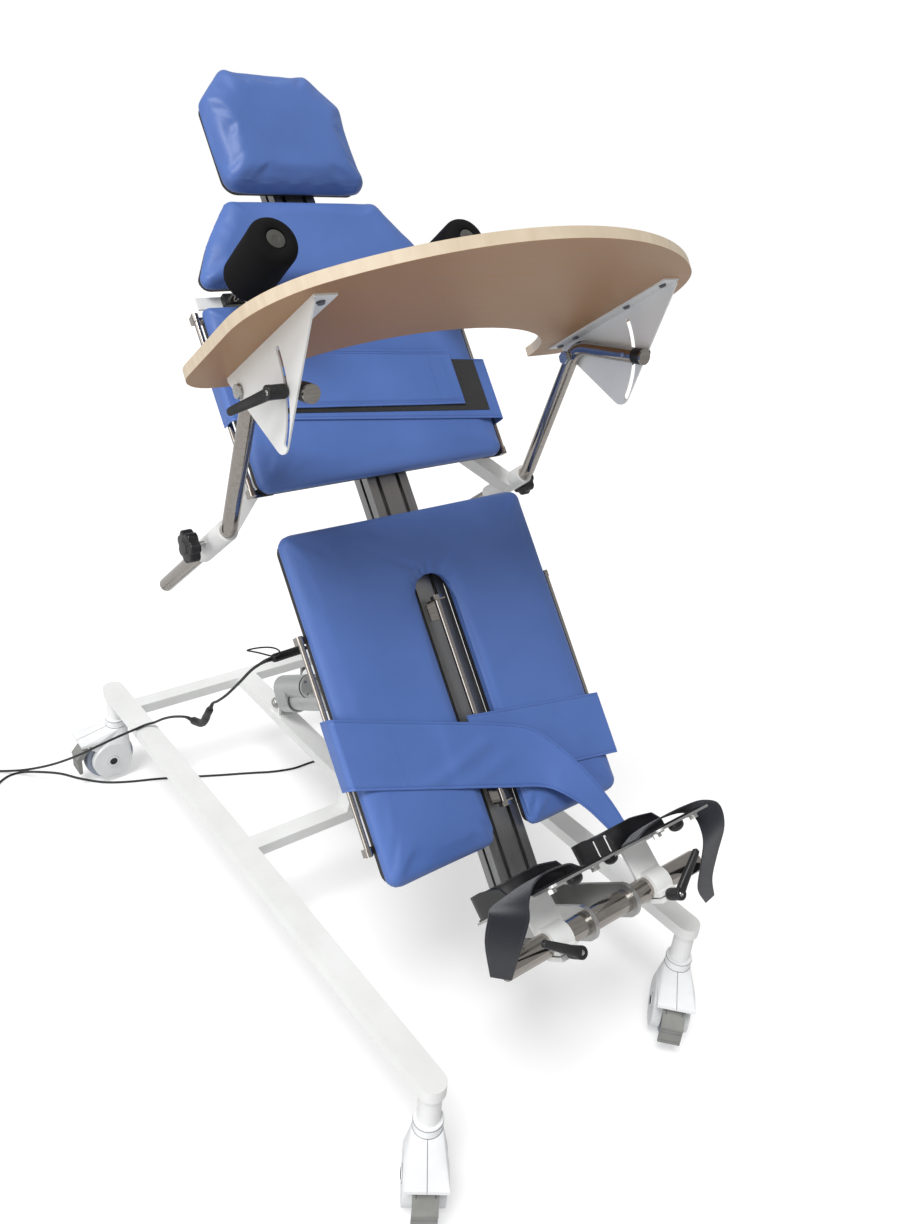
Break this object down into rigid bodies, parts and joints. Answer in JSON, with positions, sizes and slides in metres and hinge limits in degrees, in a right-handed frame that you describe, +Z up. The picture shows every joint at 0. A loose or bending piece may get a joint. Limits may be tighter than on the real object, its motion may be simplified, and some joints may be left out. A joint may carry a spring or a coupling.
{
  "type": "physiotherapy tilt table",
  "caption": "Padded tilting standing board on a wheeled base with swivel casters, straps, headrest, side bolsters, curved tray, foot plates and a lead.",
  "frame": {"origin": "on the floor under the middle of the wheeled base", "axes": "+Z up, +Y from the foot end to the head end, +X to the right seen from the foot end"},
  "size_m": [1.1441, 1.6827, 1.6935],
  "materials": {
    "white_paint": "satin powder coat",
    "grey_plastic": "matt",
    "black_plastic": "matt",
    "pedal_plastic": "matt",
    "wheel_tread": "smooth",
    "bright_steel": "polished",
    "brushed_steel": "brushed",
    "anodised": "anodised",
    "blue_vinyl": "smooth vinyl",
    "black_vinyl": "smooth vinyl",
    "board_black": "matt",
    "tray_wood": "clear lacquer",
    "black_webbing": "woven",
    "cable_black": "matt"
  },
  "bodies": {
    "base": {"side_rails": "white_paint", "cross_members": "white_paint", "centre_rail": "white_paint", "uprights": "white_paint", "pivot_shaft": "bright_steel", "actuator_bracket": "white_paint", "control_box": "grey_plastic", "lead_upper": "cable_black", "lead_fittings": "black_plastic", "lead_over_rail": "cable_black", "lead_coil": "cable_black", "lead_floor": "cable_black"},
    "actuator_housing": {"actuator_body": "anodised"},
    "actuator_ram": {"actuator_rod": "bright_steel"},
    "board": {"spine": "anodised", "pivot_bracket": "white_paint", "backing_boards": "board_black", "board_frame": "white_paint", "tray_arms": "white_paint", "strap_rails": "bright_steel", "slot_rod": "bright_steel", "leg_pad": "blue_vinyl", "back_pad": "blue_vinyl", "shoulder_pad": "blue_vinyl", "chest_strap": "blue_vinyl", "leg_strap": "blue_vinyl"},
    "headrest": {"head_carrier": "board_black", "head_pad": "blue_vinyl"},
    "bolster_left": {"bolster_left": "black_vinyl"},
    "bolster_right": {"bolster_right": "black_vinyl"},
    "tray_slide_left": {"tray_tube_left": "bright_steel"},
    "tray_slide_right": {"tray_tube_right": "bright_steel"},
    "tray_knob_left": {"tray_knob_left": "black_plastic"},
    "tray_knob_right": {"tray_knob_right": "black_plastic"},
    "tray": {"tray_top": "tray_wood", "tray_brackets": "white_paint"},
    "tray_lever_left": {"tray_lever_left": "black_plastic"},
    "tray_lever_right": {"tray_lever_right": "black_plastic"},
    "foot_carriage": {"foot_carriage": "brushed_steel", "foot_bar": "bright_steel"},
    "foot_rest_left": {"foot_bracket_left": "white_paint", "foot_plate_left": "brushed_steel", "foot_harness_left": "black_webbing"},
    "foot_rest_right": {"foot_bracket_right": "white_paint", "foot_plate_right": "brushed_steel", "foot_harness_right": "black_webbing"},
    "foot_lever_left": {"foot_lever_left": "black_plastic"},
    "foot_lever_right": {"foot_lever_right": "black_plastic"},
    "caster_front_left": {"caster_hood_fl": "white_paint"},
    "wheel_front_left": {"caster_wheel_fl": "wheel_tread"},
    "pedal_front_left": {"caster_pedal_fl": "pedal_plastic"},
    "caster_front_right": {"caster_hood_fr": "white_paint"},
    "wheel_front_right": {"caster_wheel_fr": "wheel_tread"},
    "pedal_front_right": {"caster_pedal_fr": "pedal_plastic"},
    "caster_rear_left": {"caster_hood_rl": "white_paint"},
    "wheel_rear_left": {"caster_wheel_rl": "wheel_tread"},
    "pedal_rear_left": {"caster_pedal_rl": "pedal_plastic"},
    "caster_rear_right": {"caster_hood_rr": "white_paint"},
    "wheel_rear_right": {"caster_wheel_rr": "wheel_tread"},
    "pedal_rear_right": {"caster_pedal_rr": "pedal_plastic"}
  },
  "joints": [
    {"name": "tilt", "type": "hinge", "parent": "base", "child": "board", "pos_m": [0, -0.118, 0.75], "axis": [1, 0, 0], "range_deg": [-51, 34]},
    {"name": "actuator_swing", "type": "hinge", "parent": "base", "child": "actuator_housing", "pos_m": [0, 0.372, 0.296], "axis": [1, 0, 0], "range_deg": [-3.6, 2.5]},
    {"name": "actuator_stroke", "type": "slide", "parent": "actuator_housing", "child": "actuator_ram", "axis": [0, -0.8739, 0.4861], "range_m": [-0.086, 0.128]},
    {"name": "headrest_height", "type": "slide", "parent": "board", "child": "headrest", "axis": [0, 0.6293, 0.7771], "range_m": [0, 0.05]},
    {"name": "bolster_left_width", "type": "slide", "parent": "board", "child": "bolster_left", "axis": [1, 0, 0], "range_m": [-0.03, 0.04]},
    {"name": "bolster_right_width", "type": "slide", "parent": "board", "child": "bolster_right", "axis": [1, 0, 0], "range_m": [-0.04, 0.03]},
    {"name": "tray_reach", "type": "slide", "parent": "board", "child": "tray_slide_left", "axis": [0, -0.7771, 0.6293], "range_m": [0, 0.2]},
    {"name": "tray_reach_right", "type": "slide", "parent": "board", "child": "tray_slide_right", "axis": [0, -0.7771, 0.6293], "range_m": [0, 0.2]},
    {"name": "tray_knob_left_turn", "type": "hinge", "parent": "board", "child": "tray_knob_left", "pos_m": [-0.341, 0.01464, 0.9424], "axis": [1, 0, 0], "continuous": true},
    {"name": "tray_knob_right_turn", "type": "hinge", "parent": "board", "child": "tray_knob_right", "pos_m": [0.341, 0.01464, 0.9424], "axis": [1, 0, 0], "continuous": true},
    {"name": "tray_angle", "type": "hinge", "parent": "tray_slide_left", "child": "tray", "pos_m": [0, -0.12736, 1.2517], "axis": [1, 0, 0], "range_deg": [-22, 8]},
    {"name": "tray_lever_left_turn", "type": "hinge", "parent": "tray_slide_left", "child": "tray_lever_left", "pos_m": [-0.341, -0.26921, 1.29025], "axis": [1, 0, 0], "range_deg": [-20, 40]},
    {"name": "tray_lever_right_turn", "type": "hinge", "parent": "tray_slide_right", "child": "tray_lever_right", "pos_m": [0.341, -0.26921, 1.29025], "axis": [1, 0, 0], "range_deg": [-20, 40]},
    {"name": "foot_height", "type": "slide", "parent": "board", "child": "foot_carriage", "axis": [0, 0.6293, 0.7771], "range_m": [-0.04, 0.02]},
    {"name": "foot_left_angle", "type": "hinge", "parent": "foot_carriage", "child": "foot_rest_left", "pos_m": [-0.118, -0.72348, 0.49012], "axis": [1, 0, 0], "range_deg": [-15, 15]},
    {"name": "foot_lever_left_turn", "type": "hinge", "parent": "foot_rest_left", "child": "foot_lever_left", "pos_m": [-0.118, -0.75812, 0.49502], "axis": [0, -0.7771, 0.6293], "range_deg": [-30, 30]},
    {"name": "foot_right_angle", "type": "hinge", "parent": "foot_carriage", "child": "foot_rest_right", "pos_m": [0.118, -0.72348, 0.49012], "axis": [1, 0, 0], "range_deg": [-15, 15]},
    {"name": "foot_lever_right_turn", "type": "hinge", "parent": "foot_rest_right", "child": "foot_lever_right", "pos_m": [0.118, -0.75812, 0.49502], "axis": [0, -0.7771, 0.6293], "range_deg": [0, 35]},
    {"name": "caster_front_left_swivel", "type": "hinge", "parent": "base", "child": "caster_front_left", "pos_m": [-0.318, -0.69, 0.172], "axis": [0, 0, 1], "continuous": true},
    {"name": "caster_front_left_roll", "type": "hinge", "parent": "caster_front_left", "child": "wheel_front_left", "pos_m": [-0.33446, -0.71265, 0.0625], "axis": [0.809, -0.5878, 0], "continuous": true},
    {"name": "caster_front_left_pedal", "type": "hinge", "parent": "caster_front_left", "child": "pedal_front_left", "pos_m": [-0.36502, -0.75472, 0.1175], "axis": [0.809, -0.5878, 0], "range_deg": [-4, 0]},
    {"name": "caster_front_right_swivel", "type": "hinge", "parent": "base", "child": "caster_front_right", "pos_m": [0.318, -0.69, 0.172], "axis": [0, 0, 1], "continuous": true},
    {"name": "caster_front_right_roll", "type": "hinge", "parent": "caster_front_right", "child": "wheel_front_right", "pos_m": [0.29719, -0.70874, 0.0625], "axis": [0.6691, -0.7431, 0], "continuous": true},
    {"name": "caster_front_right_pedal", "type": "hinge", "parent": "caster_front_right", "child": "pedal_front_right", "pos_m": [0.25855, -0.74353, 0.1175], "axis": [0.6691, -0.7431, 0], "range_deg": [-4, 0]},
    {"name": "caster_rear_left_swivel", "type": "hinge", "parent": "base", "child": "caster_rear_left", "pos_m": [-0.318, 0.69, 0.172], "axis": [0, 0, 1], "continuous": true},
    {"name": "caster_rear_left_roll", "type": "hinge", "parent": "caster_rear_left", "child": "wheel_rear_left", "pos_m": [-0.346, 0.69, 0.0625], "axis": [0, -1, 0], "continuous": true},
    {"name": "caster_rear_left_pedal", "type": "hinge", "parent": "caster_rear_left", "child": "pedal_rear_left", "pos_m": [-0.398, 0.69, 0.1175], "axis": [0, -1, 0], "range_deg": [-4, 0]},
    {"name": "caster_rear_right_swivel", "type": "hinge", "parent": "base", "child": "caster_rear_right", "pos_m": [0.318, 0.69, 0.172], "axis": [0, 0, 1], "continuous": true},
    {"name": "caster_rear_right_roll", "type": "hinge", "parent": "caster_rear_right", "child": "wheel_rear_right", "pos_m": [0.318, 0.718, 0.0625], "axis": [-1, 0, 0], "continuous": true},
    {"name": "caster_rear_right_pedal", "type": "hinge", "parent": "caster_rear_right", "child": "pedal_rear_right", "pos_m": [0.318, 0.77, 0.1175], "axis": [-1, 0, 0], "range_deg": [-4, 0]}
  ],
  "couplings": [
    {"joint": "actuator_swing", "follows": "tilt", "ratio": 0.066},
    {"joint": "actuator_stroke", "follows": "tilt", "m_per_rad": -0.142},
    {"joint": "tray_reach_right", "follows": "tray_reach", "ratio": 1}
  ]
}
